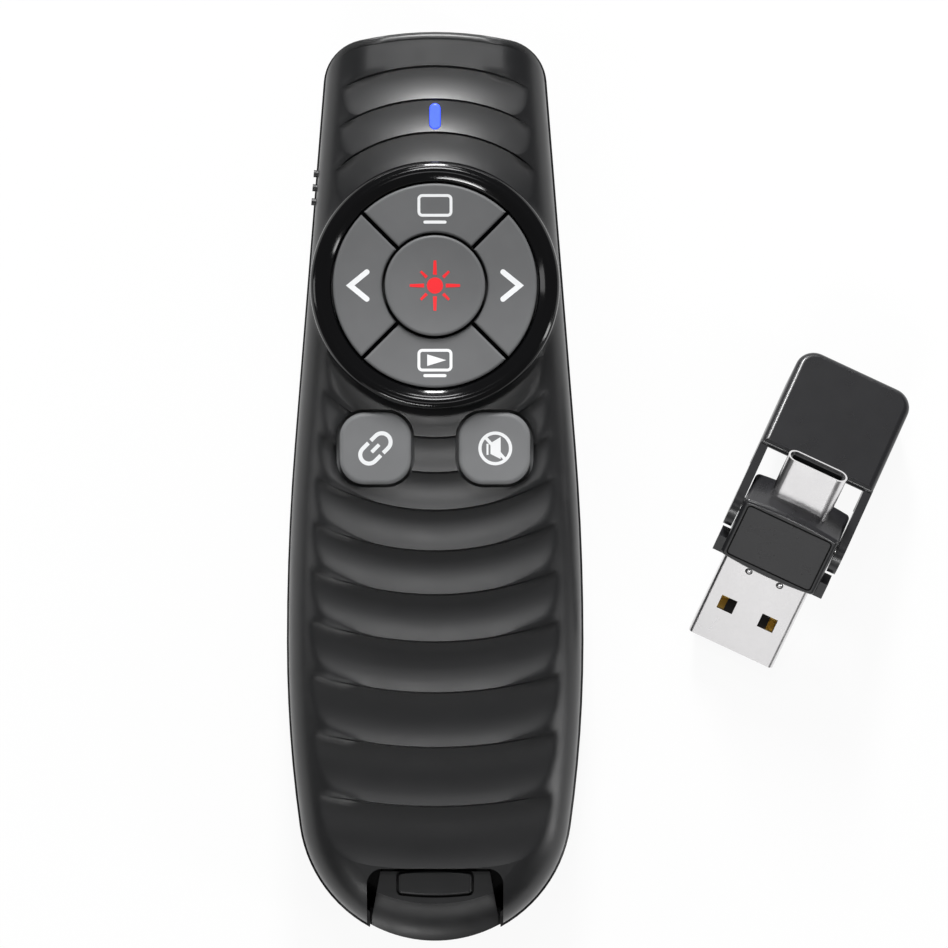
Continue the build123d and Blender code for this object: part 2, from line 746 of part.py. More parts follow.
def tail_cap():
    """Sliding cap in the tail: a shelf for the latch pad, a scooped end and a socket for the hood."""
    low = cap_sill_z + 0.1
    cap = Pos(0, 0, low) * extrude(cap_plan(), cap_shelf_z - low)
    body = plan_prism(rim_step + 0.05, 0, cap_shelf_z)
    cap &= fillet(body.faces().sort_by(Axis.Z)[0].edges(), base_radius - rim_step)
    floor_z = cap_shelf_z - scoop_drop
    foot = scoop_radius + scoop_run
    bend = (scoop_radius + scoop_run * 0.3, cap_shelf_z - scoop_drop * 0.62)
    scoop_edge = ThreePointArc((scoop_radius, cap_shelf_z), bend, (foot, floor_z))
    far = scoop_radius + 3 * scoop_run
    high = cap_shelf_z + 1
    scoop_rest = Polyline(
        (foot, floor_z), (far, floor_z), (far, high), (scoop_radius, high), (scoop_radius, cap_shelf_z)
    )
    scoop = Plane.XZ * make_face(Curve() + [scoop_edge, scoop_rest])
    centre = Pos(0, tail_y + scoop_run + scoop_radius, 0)
    cap -= centre * Rot(0, 0, 180) * revolve(scoop, Axis.Z, 180)
    socket_low = cap_floor_z() + socket_lift
    socket_high = socket_low + dock_height - socket_short
    socket_half = cap_front_half_width - cap_wall + 0.4
    cap -= block((-socket_half, socket_half), (tail_y + socket_wall, cap_front_y), (socket_low, socket_high))
    pocket = extrude(Pos(0, 0, cap_shelf_z - pad_thickness - pad_travel) * pad_plan(pad_gap), crown_height)
    cap -= pocket
    guide_low = floor_thickness + dock_seat_gap + 2 * dock_wall + dock_height + 0.15
    for side in (-1, 1):
        guide = sorted((side * 5.4, side * 6.9))
        cap += block(guide, (cap_front_y - 1.2, cap_front_y + 6.0), (guide_low, guide_low + 1.0))
    return cap


def latch_pad():
    low = cap_shelf_z - pad_thickness
    pad = extrude(Pos(0, 0, low) * pad_plan(0), pad_thickness + 0.3)
    return fillet(pad.faces().sort_by(Axis.Z)[-1].edges(), 0.35)


def receiver_tilt():
    """Angle of the large plug below level at which it and the hood both reach the table."""
    swing = radians(hood_swing)
    plug_reach = core_front + plug_a_exposed
    half_depth = hood_depth / 2
    rise = hood_length * sin(swing) - half_depth * cos(swing) - plug_a_thickness / 2
    span = plug_reach - hood_length * cos(swing) - half_depth * sin(swing)
    return atan(rise / span)


def receiver_plane():
    """Receiver frame: origin at the hood's pivot, Y along the large plug, Z out of the front."""
    tilt = receiver_tilt()
    heading = radians(receiver_heading)
    pivot_z = (core_front + plug_a_exposed) * sin(tilt) + plug_a_thickness / 2 * cos(tilt)
    level = Vector(cos(heading), sin(heading), 0)
    front = level * sin(tilt) + Vector(0, 0, cos(tilt))
    along = level * cos(tilt) - Vector(0, 0, sin(tilt))
    return Plane(origin=(receiver_x, receiver_y, pivot_z), x_dir=along.cross(front), z_dir=front)


def hood_plane():
    """Hood frame: origin at the pivot, Y along the hood, Z out of its open side."""
    plane = receiver_plane()
    swing = radians(hood_swing)
    along = plane.y_dir * cos(swing) - plane.z_dir * sin(swing)
    opening = plane.y_dir * sin(swing) + plane.z_dir * cos(swing)
    return Plane(origin=plane.origin, x_dir=along.cross(opening), z_dir=opening)


def receiver_core():
    half = core_width / 2
    top = ThreePointArc((-half, core_front - core_bow), (0, core_front), (half, core_front - core_bow))
    end = ThreePointArc((half, -core_back + core_bow), (0, -core_back), (-half, -core_back + core_bow))
    sides = [
        Line((half, core_front - core_bow), (half, -core_back + core_bow)),
        Line((-half, -core_back + core_bow), (-half, core_front - core_bow)),
    ]
    plan = make_face((Curve() + [top, end] + sides).edges())
    thick = core_thickness / 2
    core = Pos(0, 0, -thick) * extrude(plan, core_thickness)
    core = fillet(core.edges().filter_by(Axis.Z), 0.6)
    core = fillet(core.faces().sort_by(Axis.Z)[-1].edges(), 0.5)
    core = fillet(core.faces().sort_by(Axis.Z)[0].edges(), 0.5)
    for side in (-1, 1):
        stop = sorted((side * (half - 0.5), side * (half + ear_reach)))
        ear_low = hood_arm_rise + ear_gap
        core += block(stop, (pivot_disc_radius + 0.6, core_front - 0.4), (ear_low, thick - 0.5))
        hole = sorted((side * (half - 1.2), side * half))
        core -= pin(0, 0, hood_pin_radius + 0.02, *hole)
    a_x = (-plug_a_width / 2, plug_a_width / 2)
    a_z = (-plug_a_thickness / 2, plug_a_thickness / 2)
    core -= block(a_x, (core_front - plug_socket, core_front), a_z)
    core -= rounded_bar(plug_c_width, plug_c_thickness, -core_back, -core_back + plug_socket)
    c_end = core_front - plug_socket
    core -= block((-5.5, 5.5), (-core_back + plug_socket, c_end), (-1.0, 1.0))
    return core


def rounded_bar(width, thickness, low, high, corner=0.49):
    """Bar along Y with rounded long edges; corner is a share of the thickness."""
    section = RectangleRounded(width, thickness, thickness * corner)
    return Pos(0, low, 0) * (Plane.XZ * extrude(section, low - high))


def plug_a_inside():
    width = plug_a_width - 2 * plug_a_wall
    thickness = plug_a_thickness - 2 * plug_a_wall
    return rounded_bar(width, thickness, core_front - plug_socket, core_front + plug_a_exposed, 0.08)


def usb_a_shell():
    low = core_front - plug_socket
    high = core_front + plug_a_exposed
    shell = rounded_bar(plug_a_width, plug_a_thickness, low, high, 0.12)
    shell -= plug_a_inside()
    front = high - window_from_end
    for side in (-1, 1):
        centre = side * window_x
        width = (centre - window_size / 2, centre + window_size / 2)
        shell -= block(width, (front - window_size, front), (0, plug_a_thickness))
    return shell


def usb_a_tongue():
    low = core_front - plug_socket
    high = core_front + plug_a_exposed - 0.5
    half_width = plug_a_width / 2 - plug_a_wall
    base_z = -plug_a_thickness / 2 + plug_a_wall
    tongue = block((-half_width, half_width), (low, high), (base_z, base_z + tongue_thickness))
    tongue += block((-half_width, half_width), (low, low + 3.4), (base_z, -base_z))
    return tongue & plug_a_inside()


def usb_a_contacts():
    tongue_top = -plug_a_thickness / 2 + plug_a_wall + tongue_thickness
    high = core_front + plug_a_exposed - 1.2
    contacts = []
    half = contact_width / 2
    for centre in (-3.5, -1.0, 1.0, 3.5):
        length = (high - contact_length, high)
        contacts.append(block((centre - half, centre + half), length, (tongue_top, tongue_top + 0.2)))
    return contacts


def usb_c_shell():
    low = -core_back - plug_c_exposed
    high = -core_back + plug_socket
    shell = rounded_bar(plug_c_width, plug_c_thickness, low, high)
    inner = rounded_bar(plug_c_width - 2 * plug_c_wall, plug_c_thickness - 2 * plug_c_wall, low, high)
    return shell - inner


def usb_c_liner():
    low = -core_back - plug_c_exposed + 0.3
    high = -core_back + plug_socket
    width = plug_c_width - 2 * plug_c_wall - 0.04
    thickness = plug_c_thickness - 2 * plug_c_wall - 0.04
    liner = rounded_bar(width, thickness, low, high)
    return liner - rounded_bar(width - 0.7, thickness - 0.9, low, -core_back, 0.3)


def receiver_board():
    half = core_width / 2 - receiver_board_margin
    return block((-half, half), (-core_back + plug_socket + 0.05, core_front - plug_socket - 0.05), (-0.9, -0.1))


def receiver_chip():
    return block((-1.6, 1.6), (-0.7, 2.5), (-0.1, 0.7))


def hood_pins():
    half = core_width / 2
    outer = half + hood_arm_gap + hood_arm
    return [pin(0, 0, hood_pin_radius, *sorted((side * (half - 1.1), side * outer))) for side in (-1, 1)]


def receiver_hood():
    """Hood in its own frame: two arms, a panel, a bulged end wall and one open side."""
    inner = core_width / 2 + hood_arm_gap
    outer = inner + hood_arm
    half_depth = hood_depth / 2
    length = hood_length - hood_reach
    shell = block((-outer, outer), (hood_reach, hood_length), (-half_depth, half_depth))
    end_edges = shell.faces().sort_by(Axis.Y)[-1].edges()
    shell = fillet(end_edges.filter_by(Axis.Z), 2.6)
    shell = fillet(shell.faces().sort_by(Axis.Z)[0].edges(), 0.9)
    cavity = block(
        (-inner, inner), (hood_reach, hood_length - hood_end_wall), (-half_depth + hood_panel, half_depth)
    )
    shell -= fillet(cavity.faces().sort_by(Axis.Y)[-1].edges().filter_by(Axis.Z), 1.2)
    for side in (-1, 1):
        arm_x = sorted((side * inner, side * outer))
        arm = block(arm_x, (0, hood_reach + 0.5), (-pivot_disc_radius, hood_arm_rise))
        arm += pin(0, 0, pivot_disc_radius, *arm_x)
        shell += arm
        shell -= pin(0, 0, hood_pin_radius + hood_pin_fit, *arm_x)
    return shell


def save(name, shape):
    solids = shape if isinstance(shape, list) else [shape]
    pieces = [solid for item in solids for solid in item.solids()]
    whole = pieces[0] if len(pieces) == 1 else Compound(children=pieces)
    export_step(whole, f"parts/{name}.step")


clicker = {
    "top_shell": top_shell,
    "bottom_shell": bottom_shell,
    "ring_bezel": ring_bezel,
    "key_up": lambda: quadrant_key(0),
    "key_left": lambda: quadrant_key(90),
    "key_down": lambda: quadrant_key(180),
    "key_right": lambda: quadrant_key(270),
    "laser_key": laser_key,
    "link_key": lambda: small_key("link_key"),
    "mute_key": lambda: small_key("mute_key"),
    "key_frame": key_frame,
    "main_board": main_board,
    "key_switches": lambda: [key_switch(place) for place in stem_places.values()],
    "controller_chip": lambda: chip((0, small_key_y + controller_ahead), controller_size, controller_height),
    "radio_chip": lambda: chip((small_key_x, small_key_y - radio_behind), radio_size, radio_height),
    "indicator_led": lambda: chip((0, indicator_y), 1.2, 0.7),
    "indicator_lens": indicator_lens,
    "laser_barrel": laser_barrel,
    "laser_diode": laser_diode,
    "laser_lens": laser_lens,
    "laser_clamp": laser_clamp,
    "nose_window": nose_window,
    "power_slider": power_slider,
    "power_switch": power_switch,
    "battery_1": lambda: cell(1),
    "battery_2": lambda: cell(-1),
    "contact_plates": lambda: [contact_plate(1), contact_plate(-1)],
    "contact_springs": lambda: [contact_spring(1), contact_spring(-1)],
    "battery_door": battery_door,
    "casing_screws": lambda: [casing_screw(place) for place in screw_places],
    "receiver_dock": receiver_dock,
    "tail_cap": tail_cap,
    "latch_pad": latch_pad,
}
receiver = {
    "receiver_core": receiver_core,
    "usb_a_shell": usb_a_shell,
    "usb_a_tongue": usb_a_tongue,
    "usb_a_contacts": usb_a_contacts,
    "usb_c_shell": usb_c_shell,
    "usb_c_liner": usb_c_liner,
    "receiver_board": receiver_board,
    "receiver_chip": receiver_chip,
    "hood_pins": hood_pins,
}

os.makedirs("parts", exist_ok=True)
for name, make in clicker.items():
    save(name, make())
for name, make in receiver.items():
    shape = make()
    pieces = shape if isinstance(shape, list) else [shape]
    save(name, [receiver_plane() * piece for piece in pieces])
save("receiver_hood", hood_plane() * receiver_hood())
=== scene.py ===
import json
import math
import bmesh
import bpy
from mathutils import Matrix, Vector
from mathutils.bvhtree import BVHTree


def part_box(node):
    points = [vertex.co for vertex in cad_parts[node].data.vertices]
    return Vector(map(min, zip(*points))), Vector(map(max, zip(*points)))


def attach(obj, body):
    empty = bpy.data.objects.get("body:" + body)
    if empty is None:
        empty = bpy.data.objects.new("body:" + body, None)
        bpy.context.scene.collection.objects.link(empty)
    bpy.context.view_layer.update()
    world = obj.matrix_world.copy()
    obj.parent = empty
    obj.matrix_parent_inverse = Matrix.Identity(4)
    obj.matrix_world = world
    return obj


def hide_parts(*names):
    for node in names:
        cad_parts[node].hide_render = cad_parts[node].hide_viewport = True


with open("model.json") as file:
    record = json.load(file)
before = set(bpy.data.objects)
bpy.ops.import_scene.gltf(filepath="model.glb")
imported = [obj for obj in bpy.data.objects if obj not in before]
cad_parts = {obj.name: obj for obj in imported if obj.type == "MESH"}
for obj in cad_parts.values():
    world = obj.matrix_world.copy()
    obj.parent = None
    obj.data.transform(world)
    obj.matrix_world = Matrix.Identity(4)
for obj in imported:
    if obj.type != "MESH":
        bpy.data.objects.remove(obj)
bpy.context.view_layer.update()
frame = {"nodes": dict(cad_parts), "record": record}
nodes = frame["nodes"]
millimetre = 0.001
dialCentre = (0.0, 26.15)    # on the plan, in millimetres


def newMaterial(name):
    material = bpy.data.materials.new(name)
    material.use_nodes = True
    tree = material.node_tree
    return material, tree, tree.nodes["Principled BSDF"]


def objectNoise(tree, size, detail=3.0, roughness=0.55):
    # noise in object space, its blobs about size millimetres across
    coords = tree.nodes.new("ShaderNodeTexCoord")
    noise = tree.nodes.new("ShaderNodeTexNoise")
    noise.inputs["Scale"].default_value = 1.0 / (size * millimetre)
    noise.inputs["Detail"].default_value = detail
    noise.inputs["Roughness"].default_value = roughness
    tree.links.new(coords.outputs["Object"], noise.inputs["Vector"])
    return noise.outputs["Fac"]


def spread(tree, value, low, high, fromLow=0.3, fromHigh=0.7):
    # stretches what a value has between fromLow and fromHigh over low..high
    mapRange = tree.nodes.new("ShaderNodeMapRange")
    mapRange.inputs["From Min"].default_value = fromLow
    mapRange.inputs["From Max"].default_value = fromHigh
    mapRange.inputs["To Min"].default_value = low
    mapRange.inputs["To Max"].default_value = high
    tree.links.new(value, mapRange.inputs["Value"])
    return mapRange.outputs["Result"]


def mixColour(tree, factor, first, second):
    mix = tree.nodes.new("ShaderNodeMix")
    mix.data_type = "RGBA"
    mix.inputs["A"].default_value = (*first, 1.0)
    mix.inputs["B"].default_value = (*second, 1.0)
    tree.links.new(factor, mix.inputs["Factor"])
    return mix.outputs["Result"]


def addBump(tree, shader, height, depth, strength=1.0):
    bump = tree.nodes.new("ShaderNodeBump")
    bump.inputs["Strength"].default_value = strength
    bump.inputs["Distance"].default_value = depth * millimetre
    tree.links.new(height, bump.inputs["Height"])
    tree.links.new(bump.outputs["Normal"], shader.inputs["Normal"])
    return bump


def maximum(tree, first, second):
    larger = tree.nodes.new("ShaderNodeMath")
    larger.operation = "MAXIMUM"
    tree.links.new(first, larger.inputs[0])
    tree.links.new(second, larger.inputs[1])
    return larger.outputs[0]


# where the casing's edges look soft, in millimetres: off the middle plane, and further in on the nose
softPlaces = {"side": (9.5, 13.5), "noseSide": (6.0, 9.5), "nose": (51.5, 54.5)}
softEdgeSamples = 6    # more of them look smoother and take longer


def softenEdges(tree, radius):
    # the surface's own direction, rounded over its edges at the soft places
    coords = tree.nodes.new("ShaderNodeTexCoord")
    parts = tree.nodes.new("ShaderNodeSeparateXYZ")
    tree.links.new(coords.outputs["Object"], parts.inputs[0])
    side = tree.nodes.new("ShaderNodeMath")
    side.operation = "ABSOLUTE"
    tree.links.new(parts.outputs["X"], side.inputs[0])
    source = {"side": side.outputs[0], "noseSide": side.outputs[0], "nose": parts.outputs["Y"]}
    share = {
        place: spread(tree, source[place], 0.0, 1.0, low * millimetre, high * millimetre)
        for place, (low, high) in softPlaces.items()
    }
    onNose = tree.nodes.new("ShaderNodeMath")
    onNose.operation = "MULTIPLY"
    tree.links.new(share["noseSide"], onNose.inputs[0])
    tree.links.new(share["nose"], onNose.inputs[1])
    bevel = tree.nodes.new("ShaderNodeBevel")
    bevel.samples = softEdgeSamples
    bevel.inputs["Radius"].default_value = radius * millimetre
    geometry = tree.nodes.new("ShaderNodeNewGeometry")
    mix = tree.nodes.new("ShaderNodeMix")
    mix.data_type = "VECTOR"
    tree.links.new(maximum(tree, share["side"], onNose.outputs[0]), mix.inputs["Factor"])
    tree.links.new(geometry.outputs["Normal"], mix.inputs["A"])
    tree.links.new(bevel.outputs["Normal"], mix.inputs["B"])
    return mix.outputs["Result"]


def scaled(colour, factor):
    return tuple(channel * factor for channel in colour)


def finish(name, colour, roughness, look):
    # one moulded, plated or turned finish; look overrides the defaults
    settings = {
        "metallic": 0.0, "specular": 0.5, "colourShift": 0.08, "patchSize": 9.0, "roughShift": 0.06,
        "grainSize": 0.22, "grainDepth": 0.006, "grainStrength": 0.5, "coat": 0.0, "coatRoughness": 0.05,
        "wearShare": 0.35, "wearDetail": 5.0, "grainDetail": 2.0, "softEdge": 0.0,
    }
    settings.update(look)
    material, tree, shader = newMaterial(name)
    patches = objectNoise(tree, settings["patchSize"])
    shift = settings["colourShift"]
    darker, lighter = scaled(colour, 1 - shift), scaled(colour, 1 + shift)
    tone = mixColour(tree, spread(tree, patches, 0.0, 1.0), darker, lighter)
    tree.links.new(tone, shader.inputs["Base Color"])
    half = settings["roughShift"]
    wear = objectNoise(tree, settings["patchSize"] * settings["wearShare"], settings["wearDetail"])
    tree.links.new(spread(tree, wear, roughness - half, roughness + half), shader.inputs["Roughness"])
    grain = objectNoise(tree, settings["grainSize"], settings["grainDetail"])
    bump = addBump(tree, shader, grain, settings["grainDepth"], settings["grainStrength"])
    if settings["softEdge"]:
        tree.links.new(softenEdges(tree, settings["softEdge"]), bump.inputs["Normal"])
    shader.inputs["Metallic"].default_value = settings["metallic"]
    shader.inputs["Specular IOR Level"].default_value = settings["specular"]
    shader.inputs["Coat Weight"].default_value = settings["coat"]
    shader.inputs["Coat Roughness"].default_value = settings["coatRoughness"]
    return material


# colour, roughness, and what differs from the settings in finish
finishes = {
    "casing_black": ((0.0085, 0.0087, 0.0095), 0.34, {
        "grainDepth": 0.004, "grainSize": 0.2, "roughShift": 0.02, "softEdge": 1.6,
    }),
    "door_black": ((0.01, 0.0102, 0.011), 0.48, {"grainDepth": 0.006, "grainSize": 0.2}),
    "ring_gloss": ((0.002, 0.002, 0.0024), 0.1, {
        "grainDepth": 0.0004, "grainSize": 1.2, "roughShift": 0.02, "specular": 0.4,
    }),
    "key_grey": ((0.125, 0.127, 0.13), 0.5, {"grainDepth": 0.004, "grainSize": 0.16, "specular": 0.4}),
    "inner_plastic": ((0.06, 0.06, 0.065), 0.5, {}),
    "board_green": ((0.012, 0.1, 0.045), 0.3, {"grainSize": 0.5}),
    "switch_body": ((0.04, 0.04, 0.04), 0.45, {}),
    "chip_black": ((0.02, 0.02, 0.021), 0.55, {"grainSize": 0.1}),
    "led_body": ((0.85, 0.85, 0.8), 0.2, {}),
    "slider_black": ((0.01, 0.01, 0.011), 0.42, {}),
    "brass_barrel": ((0.72, 0.52, 0.2), 0.28, {"metallic": 1.0}),
    "diode_can": ((0.55, 0.55, 0.55), 0.3, {"metallic": 1.0}),
    "cell_jacket": ((0.2, 0.21, 0.24), 0.25, {"grainDepth": 0.002}),
    "contact_nickel": ((0.66, 0.65, 0.62), 0.3, {"metallic": 1.0}),
    "screw_steel": ((0.22, 0.22, 0.23), 0.35, {"metallic": 1.0}),
    "cap_black": ((0.01, 0.0102, 0.011), 0.4, {"grainDepth": 0.004}),
    "receiver_black": ((0.018, 0.018, 0.02), 0.3, {"grainDepth": 0.02, "grainSize": 0.3, "coat": 0.15}),
    "plug_steel": ((0.78, 0.77, 0.775), 0.24, {
        "metallic": 1.0, "grainDepth": 0.0008, "grainSize": 0.4, "roughShift": 0.05, "colourShift": 0.03,
    }),
    "tongue_black": ((0.012, 0.012, 0.013), 0.4, {}),
    "contact_gold": ((0.72, 0.5, 0.14), 0.25, {"metallic": 1.0}),
    "pin_steel": ((0.5, 0.5, 0.5), 0.3, {"metallic": 1.0}),
    "hood_black": ((0.013, 0.013, 0.0145), 0.28, {
        "grainDepth": 0.003, "grainSize": 0.3, "roughShift": 0.01, "colourShift": 0.04,
    }),
    "small_key_grey": ((0.175, 0.178, 0.182), 0.5, {"grainDepth": 0.004, "grainSize": 0.16, "specular": 0.4}),
    # near-black and dull: painted shade standing in for the thin groove round the receiver's front face
    "painted_groove_shade": ((0.002, 0.002, 0.002), 0.7, {"specular": 0.15}),
}
smallKeys = ("link_key", "mute_key")    # a lighter grey than the dial's keys


indicatorGlow = {
    "colour": (0.07, 0.13, 1.0), "strength": 0.8, "cloudSize": 0.8, "dimmest": 0.9, "roughness": 0.25,
}


def indicatorFinish():
    # lit blue lens, a little cloudy
    glow = indicatorGlow
    material, tree, shader = newMaterial("indicator_blue")
    cloud = spread(tree, objectNoise(tree, glow["cloudSize"]), 0.0, 1.0)
    tone = mixColour(tree, cloud, scaled(glow["colour"], glow["dimmest"]), glow["colour"])
    tree.links.new(tone, shader.inputs["Base Color"])
    tree.links.new(tone, shader.inputs["Emission Color"])
    shader.inputs["Emission Strength"].default_value = glow["strength"]
    shader.inputs["Roughness"].default_value = glow["roughness"]
    return material


glassLook = {"hazeSize": 1.5, "hazeShift": 0.06, "clearness": 0.9}
glasses = {"optic_glass": ((0.9, 0.96, 0.96), 0.02), "nose_glass": ((0.35, 0.04, 0.04), 0.05)}


def glassFinish(name, colour, roughness):
    material, tree, shader = newMaterial(name)
    haze = objectNoise(tree, glassLook["hazeSize"])
    hazed = spread(tree, haze, roughness, roughness + glassLook["hazeShift"])
    tree.links.new(hazed, shader.inputs["Roughness"])
    shader.inputs["Base Color"].default_value = (*colour, 1.0)
    shader.inputs["Transmission Weight"].default_value = glassLook["clearness"]
    return material


def dressFrame():
    made = {name: finish(name, *values) for name, values in finishes.items()}
    made["indicator_blue"] = indicatorFinish()
    for name, values in glasses.items():
        made[name] = glassFinish(name, *values)
    slotOf = {part["node"]: part["material_slot"] for part in frame["record"]["subparts"]}
    for name, piece in nodes.items():
        piece.data.materials.clear()
        piece.data.materials.append(made["small_key_grey" if name in smallKeys else slotOf[name]])
    return made


made = dressFrame()
print("finishes on the frame")


# the prints on the keys, in millimetres; points nearer to each other than weld become one
printLook = {
    "lift": 0.02, "depth": 0.05, "layerLift": 0.003, "weld": 0.002, "castFrom": 2.0, "roughness": 0.5,
    "white": (0.82, 0.83, 0.84), "red": (0.85, 0.012, 0.02),
}


def printFinish(name, colour):
    look = {"grainDepth": 0.002, "grainSize": 0.12, "colourShift": 0.03}
    return finish(name, colour, printLook["roughness"], look)


whitePrint = printFinish("printed_white", printLook["white"])
redPrint = printFinish("printed_red", printLook["red"])


def surfaceOf(node):
    mesh = nodes[node].data
    return BVHTree.FromPolygons([v.co for v in mesh.vertices], [p.vertices for p in mesh.polygons])


def placePiece(name, mesh, material, body):
    # turns a finished bmesh, in metres, into a piece that rides a body
    bmesh.ops.recalc_face_normals(mesh, faces=mesh.faces)
    data = bpy.data.meshes.new(name)
    mesh.to_mesh(data)
    mesh.free()
    data.materials.append(material)
    piece = bpy.data.objects.new(name, data)
    bpy.context.scene.collection.objects.link(piece)
    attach(piece, body)
    return piece


def arcPoints(centre, radius, start, end, steps):
    angles = [math.radians(start + (end - start) * k / steps) for k in range(steps + 1)]
    return [(centre[0] + radius * math.cos(a), centre[1] + radius * math.sin(a)) for a in angles]


def circlePoints(centre, radius, count):
    return arcPoints(centre, radius, 0, 360 - 360 / count, count - 1)


def roundedRectangle(centre, width, height, radius, steps=5):
    points = []
    for turn, (sx, sy) in enumerate(((1, 1), (-1, 1), (-1, -1), (1, -1))):
        corner = (centre[0] + sx * (width / 2 - radius), centre[1] + sy * (height / 2 - radius))
        points += arcPoints(corner, radius, 90 * turn, 90 * turn + 90, steps)
    return points


strokeShape = {"mitreLimit": 0.4, "endSteps": 8}


def stroke(points, width, closed=False, roundEnds=True):
    # a line of even width as flat polygons, mitred at its corners
    path = [Vector(p) for p in points]
    count = len(path)
    rails = []
    for k, point in enumerate(path):
        before = path[k - 1] if closed or k else None
        after = path[(k + 1) % count] if closed or k < count - 1 else None
        ahead = (after - point).normalized() if after else (point - before).normalized()
        behind = (point - before).normalized() if before else ahead
        along = (ahead + behind).normalized()
        mitre = max(along.dot(ahead), strokeShape["mitreLimit"])
        side = Vector((-along.y, along.x)) * (width / 2 / mitre)
        rails.append((point + side, point - side))
    pairs = list(zip(rails, rails[1:] + rails[:1] if closed else rails[1:]))
    polygons = [[a[0], a[1], b[1], b[0]] for a, b in pairs]
    if roundEnds and not closed:
        for end, inner in ((path[0], path[1]), (path[-1], path[-2])):
            facing = math.degrees(math.atan2(end.y - inner.y, end.x - inner.x))
            cap = arcPoints(end, width / 2, facing - 90, facing + 90, strokeShape["endSteps"])
            polygons.append([Vector(p) for p in cap])
    return polygons


def filled(points):
    return [[Vector(p) for p in points]]


def turned(polygons, centre, angle):
    c, s = math.cos(math.radians(angle)), math.sin(math.radians(angle))
    x0, y0 = centre
    return [
        [Vector((x0 + c * p.x - s * p.y, y0 + s * p.x + c * p.y)) for p in polygon]
        for polygon in polygons
    ]


def moved(polygons, centre):
    return turned(polygons, centre, 0)


def printSymbol(name, polygons, key, material, extra=0.0):
    # lays flat polygons, given in millimetres on the plan, on the top of a key as a thin raised print
    surface = surfaceOf(key)
    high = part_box(key)[1].z + printLook["castFrom"] * millimetre
    mesh = bmesh.new()
    for polygon in polygons:
        top = []
        for p in polygon:
            x, y = p.x * millimetre, p.y * millimetre
            hit = surface.ray_cast(Vector((x, y, high)), Vector((0, 0, -1)))[0]
            top.append(mesh.verts.new((x, y, hit.z + (printLook["lift"] + extra) * millimetre)))
        mesh.faces.new(top)
    bmesh.ops.remove_doubles(mesh, verts=mesh.verts, dist=printLook["weld"] * millimetre)
    bmesh.ops.recalc_face_normals(mesh, faces=mesh.faces)
    down = [face for face in mesh.faces if face.normal.z < 0]
    bmesh.ops.reverse_faces(mesh, faces=down)
    grown = bmesh.ops.extrude_face_region(mesh, geom=mesh.faces[:])
    lower = [item for item in grown["geom"] if isinstance(item, bmesh.types.BMVert)]
    bmesh.ops.translate(mesh, verts=lower, vec=(0, 0, -printLook["depth"] * millimetre))
    placePiece(name, mesh, material, key)


# the symbols round the dial, in millimetres from its centre
screenSymbol = {"width": 4.15, "height": 2.55, "corner": 0.45, "line": 0.37, "barWidth": 2.6, "barLine": 0.4}
upSymbol = {"screen": 10.35, "bar": 8.2}
downSymbol = {"screen": -9.65, "bar": -11.65, "play": [(-1.0, 0.75), (1.45, 0.0), (-1.0, -0.75)]}
chevron = {"back": 8.8, "tip": 10.95, "rise": 1.75, "line": 0.7}


def screenAndBar(place):
    centre = (0, place["screen"])
    box = roundedRectangle(centre, screenSymbol["width"], screenSymbol["height"], screenSymbol["corner"])
    half = screenSymbol["barWidth"] / 2
    bar = [(-half, place["bar"]), (half, place["bar"])]
    return stroke(box, screenSymbol["line"], closed=True) + stroke(bar, screenSymbol["barLine"])


def makeScreenSymbols():
    printSymbol("blank_screen_symbol", moved(screenAndBar(upSymbol), dialCentre), "key_up", whitePrint)
    triangle = filled([(x, y + downSymbol["screen"]) for x, y in downSymbol["play"]])
    printSymbol("play_symbol", moved(screenAndBar(downSymbol) + triangle, dialCentre), "key_down", whitePrint)


def makeChevrons():
    for key, side in (("key_left", -1), ("key_right", 1)):
        back = side * chevron["back"]
        tip = side * chevron["tip"]
        line = [(back, chevron["rise"]), (tip, 0), (back, -chevron["rise"])]
        printSymbol(f"{key}_chevron", moved(stroke(line, chevron["line"]), dialCentre), key, whitePrint)


# a dot with long and short rays by turns
laserSymbol = {
    "dot": 1.05, "dotPoints": 32, "rays": 8, "longFrom": 1.4, "longTo": 3.25, "longWidth": 0.52,
    "shortFrom": 1.5, "shortTo": 2.6, "shortWidth": 0.42, "taper": 0.7,
}


def makeLaserSymbol():
    rays = []
    for k in range(laserSymbol["rays"]):
        kind = "short" if k % 2 else "long"
        near, far = laserSymbol[kind + "From"], laserSymbol[kind + "To"]
        root = laserSymbol[kind + "Width"] / 2
        end = root * laserSymbol["taper"]
        ray = [(near, root), (far, end), (far, -end), (near, -root)]
        rays += turned(filled(ray), (0, 0), 360 / laserSymbol["rays"] * k)
    dot = filled(circlePoints((0, 0), laserSymbol["dot"], laserSymbol["dotPoints"]))
    printSymbol("laser_symbol", moved(rays + dot, dialCentre), "laser_key", redPrint)


# two half links, parted a little off their middle, round a short bar
linkSymbol = {
    "centre": (-7.7, 5.1), "bend": 1.18, "radius": 1.13, "line": 0.52, "upperEnd": 0.29, "lowerEnd": -0.14,
    "bendSteps": 18, "bar": 0.69, "barLine": 0.48, "turn": 45,
}


def makeLinkSymbol():
    polygons = []
    radius = linkSymbol["radius"]
    for side, end in ((1, linkSymbol["upperEnd"]), (-1, linkSymbol["lowerEnd"])):
        middle = (side * linkSymbol["bend"], 0)
        bend = arcPoints(middle, radius, 90, 90 - side * 180, linkSymbol["bendSteps"])
        polygons += stroke([(end, radius)] + bend + [(end, -radius)], linkSymbol["line"], roundEnds=False)
    bar = linkSymbol["bar"]
    polygons += stroke([(-bar, 0), (bar, 0)], linkSymbol["barLine"], roundEnds=False)
    place = turned(polygons, linkSymbol["centre"], linkSymbol["turn"])
    printSymbol("link_symbol", place, "link_key", whitePrint)


